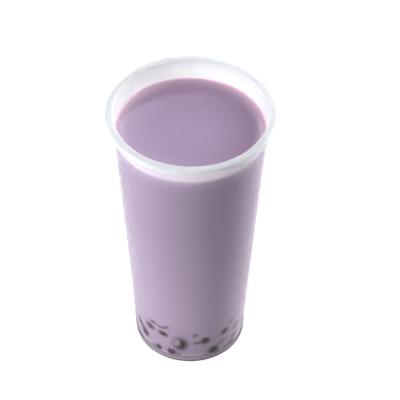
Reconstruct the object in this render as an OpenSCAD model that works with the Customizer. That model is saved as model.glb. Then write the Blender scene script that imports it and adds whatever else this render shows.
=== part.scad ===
// Tall plastic cup of taro milk tea, open at the top and filled to just under its lip.
// Z is the cup's axis. The origin is the middle of the ring that the cup stands on.

/* [Cup] */
// Diameter across the outside of the lip
mouth_d = 95; // [84:1:120]
// Height from the table to the top of the lip
cup_h = 172.5; // [120:0.5:220]
// Diameter of the tapered wall where it comes down to the table
base_d = 64.5; // [50:0.5:80]
// Thickness of the side wall
wall_t = 0.8; // [0.5:0.1:2]
// Thickness of the floor
floor_t = 1.2; // [0.8:0.1:3]

/* [Lip] */
// How far the lip stands out past the top of the wall
lip_reach = 3.75; // [3:0.05:6]
// Height of the skirt that hangs from the lip's outer edge
skirt_h = 3.4; // [2.5:0.1:8]
// Thickness of the lip's flat top and of its skirt
lip_t = 0.9; // [0.8:0.1:1.5]
// Radius of the lip's outer top edge
lip_edge_r = 0.8; // [0:0.1:1.2]
// Radius of the edge where the lip turns down into the mouth
mouth_edge_r = 0.7; // [0:0.1:1.2]

/* [Base] */
// Width of the ring that the cup stands on, from the wall inwards
foot_w = 4.5; // [3:0.5:10]
// Depth of the hollow under the floor
recess_h = 1.2; // [0.5:0.1:3]
// How far the hollow's side slopes in as it rises
recess_draft = 0.6; // [0:0.1:2]
// Radius of the corner where the wall turns under the cup
heel_r = 1.6; // [0:0.1:2]
// Radius of the corner between the inside of the wall and the floor
inner_heel_r = 2.6; // [0:0.1:5]

/* [Drink] */
// Distance from the top of the lip down to the surface of the drink
fill_drop = 12.8; // [8:0.1:60]

/* [Hidden] */
$fn = 96;
// Straight steps in each rounded corner of a section
corner_steps = 6;
mouth_r = mouth_d / 2;
base_r = base_d / 2;
wall_top_r = mouth_r - lip_reach;
floor_z = recess_h + floor_t;
drink_z = cup_h - fill_drop;
foot_inner_r = base_r - foot_w;
plastic = [0.93, 0.93, 0.96, 0.45];
taro_lavender = [0.66, 0.59, 0.70];

// Radius of the outside of the tapered wall at a height
function wall_r(z) = base_r + (wall_top_r - base_r) * z / cup_h;

// Radius of the inside of the wall at a height
function inner_r(z) = wall_r(z) - wall_t;

function unit(v) = v / norm(v);

// Radius and height of a corner, which is given as [radius, height, rounding]
function spot(corner) = [corner[0], corner[1]];

// Points of the arc that rounds the corner between two straight runs of a section
function corner_arc(before, corner, after) =
    let (
        at = spot(corner),
        rounding = corner[2],
        back = unit(spot(before) - at),
        ahead = unit(spot(after) - at),
        half_angle = acos(back * ahead) / 2,
        centre = at + unit(back + ahead) * rounding / sin(half_angle),
        first = at + back * rounding / tan(half_angle) - centre,
        last = at + ahead * rounding / tan(half_angle) - centre,
        side = sign(first[0] * last[1] - first[1] * last[0]),
        sweep = side * (180 - 2 * half_angle),
        start = atan2(first[1], first[0])
    )
    [for (i = [0:corner_steps])
        let (a = start + sweep * i / corner_steps)
        centre + rounding * [cos(a), sin(a)]];

// Outline through a ring of corners, with an arc at each corner that has a rounding
function rounded(corners) =
    let (n = len(corners))
    [for (i = [0:n - 1])
        each (corners[i][2] > 0
            ? corner_arc(corners[(i + n - 1) % n], corners[i], corners[(i + 1) % n])
            : [spot(corners[i])])];

// The cup is one moulding: a tapered wall, a floor on a standing ring, and a lip that
// reaches out flat and turns down into a skirt, with an open groove behind the skirt.
module cup() {
    lip_under_z = cup_h - lip_t;
    skirt_bottom_z = cup_h - skirt_h;
    section = rounded([
        [0, recess_h, 0],
        [foot_inner_r - recess_draft, recess_h, 0],
        [foot_inner_r, 0, 0],
        [base_r, 0, heel_r],
        [wall_r(lip_under_z), lip_under_z, 0],
        [mouth_r - lip_t, lip_under_z, 0],
        [mouth_r - lip_t, skirt_bottom_z, 0],
        [mouth_r, skirt_bottom_z, 0],
        [mouth_r, cup_h, lip_edge_r],
        [inner_r(cup_h), cup_h, mouth_edge_r],
        [inner_r(floor_z), floor_z, inner_heel_r],
        [0, floor_z, 0]
    ]);
    color(plastic)
        rotate_extrude()
            polygon(section);
}

// The drink fills the cup from its floor to the fill level, against the wall all round.
module milk_tea() {
    section = rounded([
        [0, floor_z, 0],
        [inner_r(floor_z), floor_z, inner_heel_r],
        [inner_r(drink_z), drink_z, 0],
        [0, drink_z, 0]
    ]);
    color(taro_lavender)
        rotate_extrude()
            polygon(section);
}

cup();
milk_tea();
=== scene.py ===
# %% [markdown]
# # Taro bubble tea in a plastic cup
# The drink is an opaque lavender milk tea with tapioca pearls lying at the bottom of a tall,
# milky polypropylene cup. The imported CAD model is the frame: it says how tall and wide the cup
# is and how high the tea stands. Everything below is worked out from it.

# %% Load the frame
import math
import random

import bmesh
import bpy
import numpy as np
from mathutils import Matrix, Quaternion, Vector, noise
from mathutils.bvhtree import BVHTree


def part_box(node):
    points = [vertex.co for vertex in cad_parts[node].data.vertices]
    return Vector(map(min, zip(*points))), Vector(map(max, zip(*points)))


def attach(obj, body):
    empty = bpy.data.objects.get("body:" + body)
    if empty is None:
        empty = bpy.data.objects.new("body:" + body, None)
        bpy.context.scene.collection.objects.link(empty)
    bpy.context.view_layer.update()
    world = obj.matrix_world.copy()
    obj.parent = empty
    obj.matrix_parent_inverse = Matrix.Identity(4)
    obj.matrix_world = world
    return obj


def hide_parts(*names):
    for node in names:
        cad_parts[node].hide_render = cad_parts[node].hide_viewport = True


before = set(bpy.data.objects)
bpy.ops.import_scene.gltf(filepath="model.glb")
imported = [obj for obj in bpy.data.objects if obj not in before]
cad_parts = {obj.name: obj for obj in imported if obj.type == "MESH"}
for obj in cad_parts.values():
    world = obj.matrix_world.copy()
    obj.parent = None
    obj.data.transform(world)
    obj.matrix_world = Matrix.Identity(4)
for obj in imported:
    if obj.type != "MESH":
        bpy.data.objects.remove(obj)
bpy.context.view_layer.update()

MM = 0.001

# %% [markdown]
# ## Reading sizes off the frame
# Both CAD solids are turned shapes, so each of their vertices is fully described by a radius and
# a height. Collecting those pairs gives back the drawn outline, and from it the script reads the
# wall, the lip and the fill level instead of repeating numbers that could drift apart.

# %% Measure the cup and the drink


def outline_points(node):
    """Every (radius, height) pair of a turned CAD node, in metres."""
    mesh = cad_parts[node].data
    return sorted({(round(math.hypot(v.co.x, v.co.y), 6), round(v.co.z, 6)) for v in mesh.vertices})


NEAR = 0.02 * MM
LOW_BAND = 2 * MM
cup_points = outline_points("cup")
tea_points = outline_points("milk_tea")

CUP_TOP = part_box("cup")[1].z
MOUTH_R = max(r for r, z in cup_points)
SKIRT_Z = min(z for r, z in cup_points if r > MOUTH_R - NEAR)
LIP_T = MOUTH_R - min(r for r, z in cup_points if abs(z - SKIRT_Z) < NEAR)
LIP_UNDER_Z = CUP_TOP - LIP_T
WALL_TOP_R = min(r for r, z in cup_points if abs(z - LIP_UNDER_Z) < NEAR)
FOOT_INNER_R = min(r for r, z in cup_points if z < NEAR)
RECESS_R, RECESS_Z = min(p for p in cup_points if NEAR < p[1] < LOW_BAND)

TEA_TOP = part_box("milk_tea")[1].z
TEA_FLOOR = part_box("milk_tea")[0].z
TEA_TOP_R = max(r for r, z in tea_points)
HEEL_TOP_R, HEEL_TOP_Z = min(p for p in tea_points if p[1] > TEA_FLOOR + LOW_BAND)
INNER_SLOPE = (TEA_TOP_R - HEEL_TOP_R) / (TEA_TOP - HEEL_TOP_Z)


def inner_r(z):
    """Radius of the inside of the cup's wall at a height."""
    return TEA_TOP_R + (z - TEA_TOP) * INNER_SLOPE


WALL_T = WALL_TOP_R - inner_r(LIP_UNDER_Z)
print(f"mouth radius {MOUTH_R / MM:.2f} mm, skirt down to {SKIRT_Z / MM:.2f} mm")
print(f"lip {LIP_T / MM:.2f} mm thick, wall {WALL_T / MM:.2f} mm thick")
print(f"tea from {TEA_FLOOR / MM:.2f} to {TEA_TOP / MM:.2f} mm")

# %% [markdown]
# ## The camera
# A long lens from well above the table looks down into the cup at about 45 degrees, so the mouth
# reads as a wide ellipse and the tall body tapers away from it. It is rolled by half a degree, as
# a camera held by hand is. It is set up first, because every later choice of light is judged
# through it.

# %% Camera
CAMERA_ELEVATION = math.radians(44.86)
CAMERA_ROLL = math.radians(0.5)
CAMERA_DISTANCE = 1.213
CAMERA_LENS = 191
CAMERA_AIM = Vector((5.43 * MM, 0, 0.6047 * CUP_TOP))

camera_data = bpy.data.cameras.new("camera")
camera_data.lens = CAMERA_LENS
camera_data.sensor_width = 36
camera_data.dof.use_dof = False
camera = bpy.data.objects.new("camera", camera_data)
bpy.context.collection.objects.link(camera)
back = Vector((0, -math.cos(CAMERA_ELEVATION), math.sin(CAMERA_ELEVATION)))
camera.location = CAMERA_AIM + back * CAMERA_DISTANCE
look = (-back).to_track_quat("-Z", "Y") @ Quaternion((0, 0, 1), CAMERA_ROLL)
camera.rotation_euler = look.to_euler()
bpy.context.scene.camera = camera
bpy.context.scene.view_settings.view_transform = "Standard"
print(f"camera {CAMERA_DISTANCE} m from its aim, {math.degrees(CAMERA_ELEVATION):.1f} degrees up")

# %% [markdown]
# ## Writing shader sums as Python
# A material is a graph of nodes. Building it by hand takes many lines, so this class lets a
# socket take part in ordinary Python sums: `1 - mask` adds the Math node that does it. Anything
# that isn't a sum, such as a noise or a colour mix, comes from the one method `make`.

# %% The Wire class


class Wire:
    """A shader socket that takes part in Python sums. A wire with no socket begins a material."""

    def __init__(self, tree, socket=None):
        self.tree = tree
        self.socket = socket

    def make(self, kind, settings=None, inputs=None, output=0):
        """Adds a node: its type, its settings, then the values or wires of its sockets."""
        node = self.tree.nodes.new(kind)
        for name, value in (settings or {}).items():
            setattr(node, name, value)
        by_id = {s.identifier: s for s in node.inputs}
        for name, value in (inputs or {}).items():
            socket = by_id[name] if name in by_id else node.inputs[name]
            if isinstance(value, Wire):
                self.tree.links.new(value.socket, socket)
            else:
                socket.default_value = value
        outs = {s.identifier: s for s in node.outputs}
        if outs:
            return Wire(self.tree, outs[output] if output in outs else node.outputs[output])

    def __add__(self, other):
        return self.make("ShaderNodeMath", {"operation": "ADD"}, {0: self, 1: other})

    def __radd__(self, other):
        return self.make("ShaderNodeMath", {"operation": "ADD"}, {0: other, 1: self})

    def __sub__(self, other):
        return self.make("ShaderNodeMath", {"operation": "SUBTRACT"}, {0: self, 1: other})

    def __rsub__(self, other):
        return self.make("ShaderNodeMath", {"operation": "SUBTRACT"}, {0: other, 1: self})

    def __mul__(self, other):
        return self.make("ShaderNodeMath", {"operation": "MULTIPLY"}, {0: self, 1: other})

    def __rmul__(self, other):
        return self.make("ShaderNodeMath", {"operation": "MULTIPLY"}, {0: other, 1: self})

    def __pow__(self, other):
        return self.make("ShaderNodeMath", {"operation": "POWER"}, {0: self, 1: other})

    def __rpow__(self, other):
        return self.make("ShaderNodeMath", {"operation": "POWER"}, {0: other, 1: self})


print("shader sums that can be written out: + - * **")

# %% [markdown]
# ## Helpers for the finishes
# Every finish below starts from an empty material, reads numbers painted on the mesh, and lays
# one colour over another. Colours are written as display values from 0 to 255, which are easy to
# compare by eye, and turned into the linear light that a shader works in.

# %% Helpers that every finish uses


def new_material(name):
    """An empty material and the wire that its nodes start from."""
    material = bpy.data.materials.new(name)
    material.use_nodes = True
    material.node_tree.nodes.clear()
    return material, Wire(material.node_tree)


def finish_with(start, shader):
    start.make("ShaderNodeOutputMaterial", {}, {"Surface": shader})


def place(start):
    """The point on the piece, in metres."""
    return start.make("ShaderNodeTexCoord", {}, {}, "Object")


def painted(start, name):
    """A number that the mesh carries at each vertex."""
    return start.make("ShaderNodeAttribute", {"attribute_name": name}, {}, "Fac")


def speckle(start, size, detail=3):
    """Noise from 0 to 1 whose blobs are about the given size, in metres."""
    return start.make("ShaderNodeTexNoise", {}, {"Vector": place(start), "Scale": 1 / size, "Detail": detail})


def blend(factor, under, over):
    """One colour over another."""
    return factor.make(
        "ShaderNodeMix",
        {"data_type": "RGBA"},
        {"Factor_Float": factor, "A_Color": under, "B_Color": over},
        "Result_Color",
    )


def rgb(red, green, blue):
    """A display colour, 0 to 255, as the linear colour that a shader works in."""

    def linear(v):
        v /= 255
        return v / 12.92 if v <= 0.04045 else ((v + 0.055) / 1.055) ** 2.4

    return (linear(red), linear(green), linear(blue), 1)


print(f"a display grey of 128 is {rgb(128, 128, 128)[0]:.3f} in linear light")

# %% [markdown]
# ## Turning a shape
# A cup is made on a mould with one axis, so its outline is drawn once, as a wire in the XZ plane,
# and spun a full turn. The sharp corners are then rounded with the bevel operator, ring by ring,
# which keeps the outline itself down to the points that matter.

# %% Spin and round a turned piece
TURNS = 256
BEVEL_STEPS = 4
MERGE_WITHIN = 0.001 * MM


def wire_outline(bm, outline):
    """Vertices along an outline of (radius, height) points, joined by edges."""
    verts = [bm.verts.new((r, 0, z)) for r, z in outline]
    for first, second in zip(verts, verts[1:]):
        bm.edges.new((first, second))
    return verts


def spin_outline(bm, steps=TURNS):
    """Turns a wire from axis to axis into a closed skin that faces outwards."""
    bmesh.ops.spin(
        bm,
        geom=bm.verts[:] + bm.edges[:],
        cent=(0, 0, 0),
        axis=(0, 0, 1),
        dvec=(0, 0, 0),
        angle=math.tau,
        steps=steps,
        use_merge=True,
        use_duplicate=False,
    )
    bmesh.ops.remove_doubles(bm, verts=bm.verts[:], dist=MERGE_WITHIN)
    bmesh.ops.recalc_face_normals(bm, faces=bm.faces[:])


def round_ring(bm, corner, radius):
    """Rounds the ring of edges that passes through an outline's corner."""

    def on_corner(vert):
        return math.hypot(math.hypot(vert.co.x, vert.co.y) - corner[0], vert.co.z - corner[1]) < NEAR

    ring = [e for e in bm.edges if on_corner(e.verts[0]) and on_corner(e.verts[1])]
    bmesh.ops.bevel(
        bm,
        geom=ring,
        offset=radius,
        offset_type="OFFSET",
        segments=BEVEL_STEPS,
        profile=0.5,
        affect="EDGES",
        material=-1,
    )


print(f"turned pieces have {TURNS} steps round, and {BEVEL_STEPS} across a rounded corner")

# %% Hand over a finished piece and paint numbers on it
SHARP_FROM = math.radians(50)


def hand_over(bm, name, material, replaced):
    """Makes the finished piece, rides it on the root body and hides the CAD node that it replaces."""
    mesh = bpy.data.meshes.new(name)
    bm.to_mesh(mesh)
    bm.free()
    mesh.materials.append(material)
    mesh.shade_smooth()
    mesh.set_sharp_from_angle(angle=SHARP_FROM)
    piece = bpy.data.objects.new(name, mesh)
    bpy.context.collection.objects.link(piece)
    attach(piece, "root")
    if replaced:
        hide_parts(replaced)
    mesh.calc_loop_triangles()
    print(f"{name}: {len(mesh.loop_triangles)} triangles")
    return piece


def paint(piece, name, values):
    """Stores one number for each vertex, for a material to read."""
    layer = piece.data.attributes.new(name, "FLOAT", "POINT")
    layer.data.foreach_set("value", np.asarray(values, np.float32))


def vertex_places(piece):
    """The piece's vertices as an array of points."""
    points = np.empty(len(piece.data.vertices) * 3)
    piece.data.vertices.foreach_get("co", points)
    return points.reshape(-1, 3)


print(f"edges sharper than {math.degrees(SHARP_FROM):.0f} degrees stay crisp")

# %% [markdown]
# ## The cup's plastic
# Injection-moulded polypropylene is milky: it lets light through but scatters it. Against the wet
# tea that scatter nearly vanishes, while the dry lip, which the eye sees several layers of, looks
# almost white. Volume scatter would be slow and grainy, so the milkiness is a share of a soft
# white surface mixed with a clear one. That share is painted on the mesh, and it grows where the
# wall is seen edge on, as the path through the plastic does. At the foot the plastic is thick and
# stands on its ring, so there it is nearly opaque and takes on the colour of the tea inside. Down
# at the heel, where the cup meets the table, that colour is darkened as painted shade, a painted
# contact shadow.

# %% Milky plastic
PLASTIC_WHITE = rgb(238, 241, 248)
PLASTIC_COOL = rgb(228, 234, 242)
FOOT_TINT = rgb(180, 164, 182)
# Painted shade: the foot darkens to this colour at the heel, a contact shadow where the cup meets the table.
HEEL_SHADOW_TINT = rgb(112, 98, 107)
COOL_SHARE = 0.25
EDGE_POWER = 6
EDGE_SHARE = 0.6
MIRROR_SHARE = 0.5
MIRROR_MOST = 0.15
plastic, p = new_material("milky_polypropylene")
edge_on = p.make("ShaderNodeLayerWeight", {}, {"Blend": 0.5}, "Facing")
haze = painted(p, "haze")
milkiness = haze + (1 - haze) * edge_on**EDGE_POWER * EDGE_SHARE
drift = speckle(p, 30 * MM)
ripple = speckle(p, 9 * MM)
bump_inputs = {"Strength": 0.06, "Distance": 0.2 * MM, "Height": ripple}
skin_bump = p.make("ShaderNodeBump", {}, bump_inputs, "Normal")
foot = painted(p, "foot")
heel_shading = painted(p, "heel_shading")
moulded_colour = blend(drift * COOL_SHARE, PLASTIC_WHITE, PLASTIC_COOL)
white_share = p.make(
    "ShaderNodeBsdfPrincipled",
    {},
    {
        "Base Color": moulded_colour,
        "Roughness": 0.42,
        "IOR": 1.3,
        "Subsurface Weight": 0.8,
        "Subsurface Radius": (1.0, 1.0, 1.0),
        "Subsurface Scale": 2 * MM,
        "Normal": skin_bump,
    },
)
# The foot's colour, darkened at the heel as painted shade.
foot_share = p.make(
    "ShaderNodeBsdfPrincipled",
    {},
    {
        "Base Color": blend(heel_shading, FOOT_TINT, HEEL_SHADOW_TINT),
        "Roughness": 0.6,
        "IOR": 1.3,
        "Normal": skin_bump,
    },
)
cloudy_share = p.make("ShaderNodeMixShader", {}, {"Fac": foot, 1: white_share, 2: foot_share})
clear_share = p.make("ShaderNodeBsdfTransparent", {}, {"Color": (1, 1, 1, 1)})
body_share = p.make("ShaderNodeMixShader", {}, {"Fac": milkiness, 1: clear_share, 2: cloudy_share})
shine = p.make(
    "ShaderNodeBsdfGlossy", {}, {"Color": (1, 1, 1, 1), "Roughness": 0.22, "Normal": skin_bump}
)
fresnel = p.make("ShaderNodeFresnel", {}, {"IOR": 1.45, "Normal": skin_bump})
capped_mirror = p.make(
    "ShaderNodeMath", {"operation": "MINIMUM"}, {0: fresnel * MIRROR_SHARE, 1: MIRROR_MOST}
)
mirror_share = capped_mirror * (1 - foot)
finish_with(p, p.make("ShaderNodeMixShader", {}, {"Fac": mirror_share, 1: body_share, 2: shine}))
print(f"{plastic.name}: {len(plastic.node_tree.nodes)} nodes")

# %% [markdown]
# ## The cup
# The outline runs from the middle of the hollow under the floor, over the standing ring, up the
# outside, round the flat lip with its hanging skirt, and down the inside to the floor. The skirt
# is open behind, as the mould leaves it, so the groove is real and shows from below. Short
# straight stretches lie beside each rounding, because a bevel wider than the edges next to it
# folds the skin over itself.

# %% Turn the cup
HEEL_R = 1.6 * MM
INNER_HEEL_R = 2.6 * MM
LIP_EDGE_R = 0.8 * MM
MOUTH_EDGE_R = 0.7 * MM
SKIRT_EDGE_R = 0.25 * MM
BESIDE_ROUNDING = 0.4 * MM
FOOT_RING_HEIGHTS = (1.8, 2.4, 3, 3.6, 4.2, 4.8, 5.4, 6)
TALL_SIDE_CUTS = 80

base_corner = (inner_r(0) + WALL_T, 0)
lip_corner = (MOUTH_R, CUP_TOP)
mouth_corner = (inner_r(CUP_TOP), CUP_TOP)
floor_corner = (inner_r(TEA_FLOOR), TEA_FLOOR)
skirt_corner = (MOUTH_R, SKIRT_Z)
skirt_inner_corner = (MOUTH_R - LIP_T, SKIRT_Z)
HEEL_TOP = TEA_FLOOR + INNER_HEEL_R + BESIDE_ROUNDING
foot_rings = [(inner_r(z * MM) + WALL_T, z * MM) for z in FOOT_RING_HEIGHTS]
cup_outline = [
    (0, RECESS_Z),
    (RECESS_R, RECESS_Z),
    (FOOT_INNER_R, 0),
    base_corner,
    *foot_rings,
    (WALL_TOP_R, LIP_UNDER_Z),
    (MOUTH_R - LIP_T, LIP_UNDER_Z),
    skirt_inner_corner,
    skirt_corner,
    lip_corner,
    mouth_corner,
    (inner_r(HEEL_TOP), HEEL_TOP),
    floor_corner,
    (0, TEA_FLOOR),
]
bm = bmesh.new()
wire_outline(bm, cup_outline)
tall_sides = [e for e in bm.edges if abs(e.verts[0].co.z - e.verts[1].co.z) > 0.5 * CUP_TOP]
bmesh.ops.subdivide_edges(bm, edges=tall_sides, cuts=TALL_SIDE_CUTS)
spin_outline(bm)
for corner, radius in (
    (base_corner, HEEL_R),
    (floor_corner, INNER_HEEL_R),
    (lip_corner, LIP_EDGE_R),
    (mouth_corner, MOUTH_EDGE_R),
    (skirt_corner, SKIRT_EDGE_R),
    (skirt_inner_corner, SKIRT_EDGE_R),
):
    round_ring(bm, corner, radius)
print(f"plastic in the cup: {bm.calc_volume() / MM**3 / 1000:.1f} cm3")
cup = hand_over(bm, "cup_shell", plastic, "cup")

# %% [markdown]
# ## How milky the cup is
# The share of haze is painted by height: full in the foot, almost none where tea wets the wall,
# more on the dry wall above it, and more again in the lip, where the eye looks through layers.
# Painting it on the mesh keeps it in place from every side.

# %% Paint how milky each part of the cup looks, and the painted shade at its heel
WET_HAZE = 0.03
DRY_HAZE = 0.3
LIP_HAZE = 0.58
SKIRT_HAZE = 0.5
FOOT_HAZE = 1.0
FOOT_FULL_Z = TEA_FLOOR + 0.6 * MM
FOOT_END_Z = TEA_FLOOR + 3.6 * MM
DRYING = 2 * MM
SKIRT_MARGIN = 0.1 * MM
HEEL_SHADOW_HEIGHTS = (1.7 * MM, 2.5 * MM, 4.4 * MM)
HEEL_SHADES = (1, 0.25, 0)

cup_places = vertex_places(cup)
cup_z = cup_places[:, 2]
cup_r = np.hypot(cup_places[:, 0], cup_places[:, 1])
haze_by_height = np.interp(
    cup_z,
    [0, FOOT_FULL_Z, FOOT_END_Z, TEA_TOP - DRYING, TEA_TOP + DRYING, SKIRT_Z, CUP_TOP],
    [FOOT_HAZE, FOOT_HAZE, WET_HAZE, WET_HAZE, DRY_HAZE, DRY_HAZE, LIP_HAZE],
)
on_skirt = (cup_r > WALL_TOP_R + SKIRT_MARGIN) & (cup_z < CUP_TOP - SKIRT_MARGIN)
paint(cup, "haze", np.where(on_skirt, SKIRT_HAZE, haze_by_height))
paint(cup, "foot", (cup_z < FOOT_END_Z + NEAR).astype(float))
# Painted shade: the foot darkens towards the table, a painted contact shadow.
paint(cup, "heel_shading", np.interp(cup_z, HEEL_SHADOW_HEIGHTS, HEEL_SHADES))
print(f"haze {haze_by_height.min():.2f} to {haze_by_height.max():.2f}, skirt {SKIRT_HAZE}")

# %% [markdown]
# ## The pearls
# Tapioca pearls are soft, chewy balls of 7 to 9 mm that sink and pile up. The ones that lodged
# against the wall are pressed out of round, some of them flat on it and some behind a film of
# tea, so they show as marks of many shapes. Those on the near side are placed one by one, and the
# ones round the back by a seeded draw. The rest start scattered and then settle: in each small
# step they fall, push each other apart and stay inside the cup.

# %% Pearls that lodged against the wall
# Azimuth (0 is the near side, 90 the right), height, half length, half width, tilt of the
# length, film of tea in front, and depth of a dimple. Angles in degrees, lengths in millimetres.
LODGED = [
    (-76, 6.0, 3.4, 3.0, 0, 0.4, 0),
    (-63.5, 17.4, 4.8, 3.4, -38, 0, 0),
    (-55, 13.4, 5.2, 4.7, -38, 0, 0),
    (-45, 23, 4.4, 3.6, -12, 0.1, 0),
    (-40, 28.4, 3.4, 1.5, 8, 0.2, 0),
    (-30.5, 27.5, 2.9, 1.5, -6, 0.3, 0),
    (-24.6, 28.8, 2.9, 1.5, 46, 0.2, 0),
    (-28.2, 22.2, 4.1, 2.9, -10, 0, 0),
    (-9.8, 17.0, 5.7, 8.0, 0, 0, 2.8),
    (-34.4, 7.6, 2.6, 2.9, 0, 0, 0),
    (-40.5, 6.4, 3.2, 1.8, 5, 0.5, 0),
    (-19.2, 7.8, 3.6, 3.6, -8, 0, 0),
    (-12.4, 7.0, 2.6, 2.6, 0, 0.7, 0),
    (16.5, 18.8, 4.0, 4.4, 6, 0, 0),
    (8.2, 17.6, 3.4, 1.9, 10, 0.4, 0),
    (5.5, 24.8, 2.0, 2.2, 0, 0.5, 0),
    (26.6, 8.4, 4.4, 4.4, 0, 0, 0),
    (34.5, 12.2, 4.2, 2.6, 12, 0.8, 0),
    (38.4, 21.2, 3.8, 3.4, 14, 0.1, 0),
    (49.5, 6.2, 3.4, 3.0, 0, 0.5, 0),
    (42, 5.8, 2.8, 2.4, 0, 0.8, 0),
    (54, 10.5, 3.4, 3.4, 0, 0.6, 0),
    (55.5, 18.5, 3.0, 3.8, 0, 0.6, 0),
    (47, 27, 2.6, 2.2, 0, 0.8, 0),
]
BACK_LODGED = 22
BACK_FROM = 70
BACK_SWEEP = 205

random.seed(7)
for i in range(BACK_LODGED):
    azimuth = BACK_FROM + BACK_SWEEP * (i + 0.5) / BACK_LODGED + random.uniform(-5, 5)
    half_length = random.uniform(2.6, 5.2)
    half_width = half_length * random.uniform(0.55, 1)
    film = random.choice((0, 0, 0.1, 0.3, 0.6))
    dimple = random.choice((0, 0, 0, 1.4))
    height = random.uniform(6, 27)
    tilt = random.uniform(-40, 40)
    LODGED.append((azimuth, height, half_length, half_width, tilt, film, dimple))
print(f"{len(LODGED)} pearls lodged at the wall")

# %% Stand the lodged pearls against the wall
DEEP = 3.5
PRESSED = 0.5

centres, frames, sizes, dimples, films = [], [], [], [], []
for azimuth, height, half_length, half_width, tilt, film, dimple in LODGED:
    z = height * MM
    angle = math.radians(azimuth - 90)
    lean = math.radians(tilt)
    outward = Vector((math.cos(angle), math.sin(angle), 0))
    rightward = Vector((-math.sin(angle), math.cos(angle), 0))
    upward = Vector((0, 0, 1))
    along = rightward * math.cos(lean) + upward * math.sin(lean)
    across = upward * math.cos(lean) - rightward * math.sin(lean)
    deep = min(DEEP, max(half_length, half_width))
    centres.append(outward * (inner_r(z) - (deep + film - PRESSED) * MM) + upward * z)
    frames.append(Matrix((along, across, outward)).transposed())
    sizes.append(Vector((half_length, half_width, deep)) * MM)
    dimples.append(dimple * MM)
    films.append(film * MM)
print(f"half lengths {min(max(s) for s in sizes) / MM:.1f} to {max(max(s) for s in sizes) / MM:.1f} mm")

# %% Pearls that lie loose in the bed
LOOSE = 84
LOOSE_REACH = 22 * MM

for i in range(LOOSE):
    angle = random.uniform(0, math.tau)
    reach = LOOSE_REACH * math.sqrt(random.random())
    radius = random.uniform(3.5, 4.5) * MM
    drop = random.uniform(6, 60) * MM
    centres.append(Vector((reach * math.cos(angle), reach * math.sin(angle), drop)))
    turn = random.uniform(0, math.tau)
    axis = Vector((random.random(), random.random(), 1))
    frames.append(Matrix.Rotation(turn, 3, axis))
    sizes.append(Vector((radius, radius * random.uniform(0.9, 1), radius * random.uniform(0.9, 1))))
    dimples.append(0)
    films.append(0)
print(f"{LOOSE} loose pearls, {len(centres)} in all")

# %% Let the loose pearls settle
FILM_OF_TEA = 2.4 * MM
FALL = 0.25 * MM
SETTLING_STEPS = 500
NUDGES = 4
PUSH_SHARE = 0.5

places = np.array(centres)
radii = np.array([sum(size) / 3 for size in sizes])
free = np.arange(len(places)) >= len(LODGED)
for step in range(SETTLING_STEPS):
    places[free, 2] -= FALL
    for nudge in range(NUDGES):
        apart = places[:, None] - places[None]
        gap = np.linalg.norm(apart, axis=2) + np.eye(len(places))
        overlap = np.maximum(radii[:, None] + radii[None] - gap, 0) * (1 - np.eye(len(places)))
        push = (apart / gap[..., None] * overlap[..., None]).sum(1) * PUSH_SHARE
        places[free] += push[free]
        reach = np.hypot(places[:, 0], places[:, 1])
        room = inner_r(places[:, 2]) - radii - FILM_OF_TEA
        shrink = np.where(reach > room, room / np.maximum(reach, 1e-9), 1)
        places[free, :2] *= shrink[free, None]
        places[free, 2] = np.maximum(places[free, 2], TEA_FLOOR + radii[free])
bed_top = (places[:, 2] + radii).max()
print(f"{len(places)} pearls, bed {bed_top / MM:.0f} mm high")

# %% [markdown]
# ## Shaping the pearls
# All the pearls are one joined mesh of icospheres. Each ball is stretched along its own axes,
# given shallow lumps by smooth noise, and some get a dimple on the side that faces the wall,
# as a soft ball does that dries against it. What would stand out past its film of tea is pushed
# back, so a pressed pearl is flat on the wall. The same mesh later tells the tea how thick the
# film in front of each pearl is, so the marks on the tea match the pearls behind them.

# %% The gel of the pearls
GEL_DARK = rgb(38, 22, 20)
GEL_BROWN = rgb(66, 40, 34)

pearl_gel, g = new_material("tapioca_gel")
gel_colour = blend(speckle(g, 2.5 * MM), GEL_DARK, GEL_BROWN)
bump_inputs = {"Strength": 0.15, "Distance": 0.1 * MM, "Height": speckle(g, 1 * MM)}
gel_bump = g.make("ShaderNodeBump", {}, bump_inputs, "Normal")
finish_with(
    g,
    g.make(
        "ShaderNodeBsdfPrincipled",
        {},
        {
            "Base Color": gel_colour,
            "Roughness": 0.18,
            "IOR": 1.4,
            "Subsurface Weight": 0.15,
            "Subsurface Scale": 1 * MM,
            "Normal": gel_bump,
        },
    ),
)
print(f"{pearl_gel.name}: {len(pearl_gel.node_tree.nodes)} nodes")

# %% Make the pearls
LUMP_SHARE = 0.07
LUMPS_ROUND = 1.6
LUMP_MIDDLE = 0.3
DIMPLE_REACH = (1.8 * MM, 2.7 * MM)
DIMPLE_SHIFT = -2.0 * MM

bm = bmesh.new()
for i, (centre, turn, size, dimple, film) in enumerate(zip(places, frames, sizes, dimples, films)):
    ball = bmesh.ops.create_icosphere(bm, subdivisions=3, radius=1)["verts"]
    for vert in ball:
        ray = vert.co.copy()
        lump = 1 + LUMP_SHARE * (noise.noise(ray * LUMPS_ROUND + Vector((i, 0, 0))) - LUMP_MIDDLE)
        local = Vector((ray.x * size.x, ray.y * size.y, ray.z * size.z)) * lump
        if dimple and ray.z > 0:
            aside = ((local.x - DIMPLE_SHIFT) / DIMPLE_REACH[0]) ** 2 + (local.y / DIMPLE_REACH[1]) ** 2
            local.z -= dimple * math.exp(-(aside**2))
        spot = turn @ local + Vector(centre)
        room = (inner_r(spot.z) - film) / math.hypot(spot.x, spot.y)
        if room < 1:
            spot.x *= room
            spot.y *= room
        vert.co = spot
pearl_skin = BVHTree.FromBMesh(bm)
hand_over(bm, "tapioca_pearls", pearl_gel, None)

# %% [markdown]
# ## The tea
# The tea fills the cup and wets its wall, so its skin is set a hair inside the plastic and no
# gap of air can show. Water climbs a little where it meets the wall: the surface ends in a small
# upward curve, a meniscus, which is worked out as a decaying curve. The lower side is divided
# finely, because the pearls show through it as soft dark marks.

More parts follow.
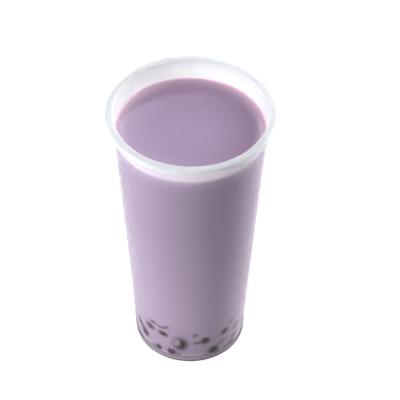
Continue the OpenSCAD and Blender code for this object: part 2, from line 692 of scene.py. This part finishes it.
# %% Turn the tea
WALL_BITE = 0.15 * MM
CLIMB = 0.9 * MM
CLIMB_REACH = 1.1 * MM
EDGE_STEPS = (0, 0.15, 0.35, 0.6, 0.9, 1.3, 1.8, 2.4, 3.2, 4.2, 5.5, 7.5)
PEARL_ZONE_Z = 36 * MM
FINE_TURNS = 480
FINE_CUTS = 72
UPPER_CUTS = 40

tea_edge_z = TEA_TOP + CLIMB
tea_edge_r = inner_r(tea_edge_z) + WALL_BITE
surface_points = []
for step_in in EDGE_STEPS:
    d = step_in * MM
    surface_points.append((tea_edge_r - d, TEA_TOP + CLIMB * math.exp(-d / CLIMB_REACH)))
tea_floor_corner = (inner_r(TEA_FLOOR) + WALL_BITE, TEA_FLOOR - WALL_BITE)
zone_corner = (inner_r(PEARL_ZONE_Z) + WALL_BITE, PEARL_ZONE_Z)
tea_heel_top = (inner_r(HEEL_TOP) + WALL_BITE, HEEL_TOP)
tea_outline = [(0, TEA_FLOOR - WALL_BITE), tea_floor_corner, tea_heel_top, zone_corner]
tea_outline += surface_points
tea_outline += [(0.5 * TEA_TOP_R, TEA_TOP), (0, TEA_TOP)]
bm = bmesh.new()
verts = wire_outline(bm, tea_outline)
fine_side = bm.edges.get((verts[2], verts[3]))
upper_side = bm.edges.get((verts[3], verts[4]))
bmesh.ops.subdivide_edges(bm, edges=[fine_side], cuts=FINE_CUTS)
bmesh.ops.subdivide_edges(bm, edges=[upper_side], cuts=UPPER_CUTS)
spin_outline(bm, FINE_TURNS)
round_ring(bm, tea_floor_corner, INNER_HEEL_R)
print(f"tea: {bm.calc_volume() / MM**3 / 1000:.0f} ml with its pearls")

# %% [markdown]
# ## The tea's colour
# Taro milk tea is a greyed lavender. Where it thins out, at the very edge against the wall, it
# turns pinker and paler, and that edge is painted paler still as painted light, lifting the shade
# that the wall casts on it. Where a pearl comes close to the wall, the thin film of tea in front of
# it lets the dark gel show: the mark fades with the thickness of that film. The lower part is
# painted a little paler as painted light from the floor's bounce, and the tea is painted paler
# again at the heel as painted light, lifting the shadow of the thick foot. The open surface is
# painted darker and more saturated than the sides as painted shade, because only light that has
# passed through the tea reaches it. All of these are painted on the mesh and mixed into the base
# colour, so they stay on the tea from every side.

# %% Tea finish
TEA_SIDE = rgb(165, 146, 175)
TEA_CLOUD = rgb(160, 140, 170)
# Painted light: the lower tea paler, standing in for light bounced up from the floor.
TEA_LOWER_LIT = rgb(178, 158, 185)
# Painted shade: the open surface darker and more saturated than the sides, lit only by light that came
# through the tea.
TEA_TOP_SHADED = rgb(166, 138, 171)
# The thin edge's pale colour is partly the thin film's own and partly painted light, lifting the shade that
# the wall casts there.
TEA_THIN_AND_LIT = rgb(238, 211, 222)
TEA_THIN_SIDE = rgb(213, 192, 219)
# Painted light: the tea paler at the heel, lifting the shadow that the thick foot casts.
TEA_HEEL_LIT = rgb(212, 196, 220)
PEARL_SEEN = rgb(46, 8, 28)

tea_skin, t = new_material("taro_milk_tea")
open_surface = painted(t, "open_surface")
cloudy_colour = blend(speckle(t, 22 * MM, 4), TEA_CLOUD, TEA_SIDE)
# Painted light: paler low down, from the floor's bounce.
side_colour = blend(painted(t, "lower_light"), cloudy_colour, TEA_LOWER_LIT)
# Painted shade on the open surface.
side_and_shaded_top = blend(open_surface, side_colour, TEA_TOP_SHADED)
# The thin edge: the film's own pinker colour, with painted light on top.
thin_and_lit_colour = blend(open_surface, TEA_THIN_SIDE, TEA_THIN_AND_LIT)
with_edge = blend(painted(t, "thin_edge"), side_and_shaded_top, thin_and_lit_colour)
# Painted light at the heel, lifting the foot's shadow.
with_heel_light = blend(painted(t, "heel_shading"), with_edge, TEA_HEEL_LIT)
with_pearls = blend(painted(t, "pearl_mark"), with_heel_light, PEARL_SEEN)
finish_with(
    t,
    t.make(
        "ShaderNodeBsdfPrincipled",
        {},
        {
            "Base Color": with_pearls,
            "Roughness": 0.75 - 0.65 * open_surface,
            "IOR": 1.4,
            "Subsurface Weight": 0.6,
            "Subsurface Radius": (1.0, 0.7, 0.9),
            "Subsurface Scale": 4 * MM,
        },
    ),
)
print(f"{tea_skin.name}: {len(tea_skin.node_tree.nodes)} nodes")
tea = hand_over(bm, "taro_milk_tea", tea_skin, "milk_tea")

# %% Paint the tea's thin edge, its surface, and its painted light low down and at the heel
EDGE_REACH = 3.7 * MM
EDGE_FALL = 1.15
SURFACE_MARGIN = 0.1 * MM
LOWER_LIGHT_HEIGHTS = (20 * MM, 110 * MM)
TEA_HEEL_LIGHT_HEIGHTS = (TEA_FLOOR + 2.6 * MM, TEA_FLOOR + 5 * MM)

tea_places = vertex_places(tea)
tea_z = tea_places[:, 2]
tea_r = np.hypot(tea_places[:, 0], tea_places[:, 1])
from_edge = np.hypot(tea_r - tea_edge_r, tea_z - tea_edge_z)
# The thin edge carries the film's own colour and painted light.
paint(tea, "thin_edge", np.exp(-((from_edge / EDGE_REACH) ** EDGE_FALL)))
on_top = (tea_z > TEA_TOP - SURFACE_MARGIN) & (tea_r < tea_edge_r - SURFACE_MARGIN)
paint(tea, "open_surface", on_top.astype(float))
# Painted light: the lower tea paler, as the floor's bounce lights it.
paint(tea, "lower_light", np.interp(tea_z, LOWER_LIGHT_HEIGHTS, [1, 0]))
# Painted light: the tea paler at the heel, lifting the shadow of the foot.
paint(tea, "heel_shading", np.interp(tea_z, TEA_HEEL_LIGHT_HEIGHTS, [1, 0]))
print(f"{on_top.sum()} of {len(tea_z)} vertices are on the open surface")

# %% Paint the marks of the pearls
FILM_SHARE = 0.8
FILM_FADE = 0.8 * MM
DEEP_SHARE = 0.12
DEEP_FADE = 3 * MM
REACH_IN = 8 * MM
NO_PEARL = 1.0
WOBBLE = 0.25 * MM
WOBBLE_SIZE = 1.4 * MM
BED_SHADE = 0.08
BED_HEIGHTS = (24 * MM, 36 * MM)
SOFTENING_PASSES = 2
SOFTENING = 0.5

side = np.flatnonzero((tea_z < PEARL_ZONE_Z + NEAR) & (tea_r > 0.5 * TEA_TOP_R))
film = np.full(len(tea_places), NO_PEARL)
for i in side:
    spot = Vector(tea_places[i])
    inward = Vector((-spot.x, -spot.y, 0)).normalized()
    hit, _, _, distance = pearl_skin.ray_cast(spot, inward, REACH_IN)
    if hit is not None:
        wobble = WOBBLE * noise.noise(spot / WOBBLE_SIZE)
        film[i] = max(distance - WALL_BITE + wobble, 0)
bed_shade = BED_SHADE * np.interp(tea_z, BED_HEIGHTS, [1, 0])
mark = bed_shade + FILM_SHARE * np.exp(-film / FILM_FADE) + DEEP_SHARE * np.exp(-film / DEEP_FADE)

edge_ends = np.empty(len(tea.data.edges) * 2, np.int64)
tea.data.edges.foreach_get("vertices", edge_ends)
edge_ends = edge_ends.reshape(-1, 2)
neighbours = np.bincount(edge_ends.ravel(), minlength=len(mark))
for softening in range(SOFTENING_PASSES):
    around = np.bincount(edge_ends[:, 0], mark[edge_ends[:, 1]], len(mark))
    around += np.bincount(edge_ends[:, 1], mark[edge_ends[:, 0]], len(mark))
    mark = (1 - SOFTENING) * mark + SOFTENING * around / neighbours
paint(tea, "pearl_mark", mark)
print(f"{(film < NO_PEARL).sum()} vertices have a pearl behind them, darkest mark {mark.max():.2f}")

# %% [markdown]
# ## Floor and lights
# A plain white floor runs out of view, a little brighter to the eye than to the cup, so that it
# reads as white and doesn't wash out the plastic. Two low panels on the left and two on the right
# light the wall from the side and from behind, a third on the right stands higher, and one hangs
# overhead. A small oval lamp behind the cup lies mirrored in the tea as a soft, cool patch.

# %% Floor
FLOOR_HALF = 6
FLOOR_GLOW = 1.25
GLOW_SHARE = 0.75

floor_mesh = bpy.data.meshes.new("floor")
bm = bmesh.new()
bmesh.ops.create_grid(bm, x_segments=1, y_segments=1, size=FLOOR_HALF)
bm.to_mesh(floor_mesh)
bm.free()
floor_paint, f = new_material("floor_white")
seen = f.make("ShaderNodeLightPath", {}, {}, "Is Camera Ray")
shaded = f.make("ShaderNodeBsdfDiffuse", {}, {"Color": (0.85, 0.85, 0.85, 1)})
glow = f.make("ShaderNodeEmission", {}, {"Color": (1, 1, 1, 1), "Strength": FLOOR_GLOW})
soft_floor = f.make("ShaderNodeMixShader", {}, {"Fac": GLOW_SHARE, 1: shaded, 2: glow})
finish_with(f, f.make("ShaderNodeMixShader", {}, {"Fac": seen, 1: shaded, 2: soft_floor}))
floor_mesh.materials.append(floor_paint)
floor = bpy.data.objects.new("floor", floor_mesh)
bpy.context.collection.objects.link(floor)
print(f"floor {2 * FLOOR_HALF} m across")

# %% World
world = bpy.data.worlds.new("studio")
bpy.context.scene.world = world
world.use_nodes = True
world.node_tree.nodes.clear()
w = Wire(world.node_tree)
seen = w.make("ShaderNodeLightPath", {}, {}, "Is Camera Ray")
sky = w.make("ShaderNodeBackground", {}, {"Color": (1, 1, 1, 1), "Strength": seen})
w.make("ShaderNodeOutputWorld", {}, {"Surface": sky})
print(f"{world.name}: white to the camera, dark to the cup")

# %% Soft panels and the lamp that lies mirrored in the tea
PANEL_AWAY = 1.5
PANEL_SIDE = 0.8
OVAL_AWAY = 1.54
OVAL_WIDTH = 0.178
OVAL_HEIGHT = 0.104
OVAL_TINT = (0.72, 0.8, 1)


def softbox(name, azimuth, elevation, watts, width=PANEL_SIDE, height=PANEL_SIDE, distance=PANEL_AWAY):
    """A soft panel that faces the cup. Azimuth 0 is the camera's side and 90 is the right."""
    light = bpy.data.lights.new(name, "AREA")
    light.shape = "RECTANGLE"
    light.size = width
    light.size_y = height
    light.energy = watts
    lamp = bpy.data.objects.new(name, light)
    bpy.context.collection.objects.link(lamp)
    a, e = math.radians(azimuth - 90), math.radians(elevation)
    away = Vector((math.cos(a) * math.cos(e), math.sin(a) * math.cos(e), math.sin(e)))
    lamp.location = Vector((0, 0, 0.5 * CUP_TOP)) + away * distance
    lamp.rotation_euler = (-away).to_track_quat("-Z", "Y").to_euler()
    return light


softbox("left_panel", -60, 8, 25)
softbox("left_back_panel", -150, 8, 11)
softbox("right_side_panel", 120, 8, 20)
softbox("right_back_panel", 150, 8, 12)
softbox("right_top_panel", 120, 40, 10.5)
softbox("overhead_panel", 0, 88, 7)

oval_lamp = softbox("mirrored_lamp", 182.1, 45.2, 0.23, OVAL_WIDTH, OVAL_HEIGHT, OVAL_AWAY)
oval_lamp.shape = "ELLIPSE"
oval_lamp.color = OVAL_TINT
print(f"{len(bpy.data.lights)} lights, {sum(light.energy for light in bpy.data.lights):.1f} W in all")
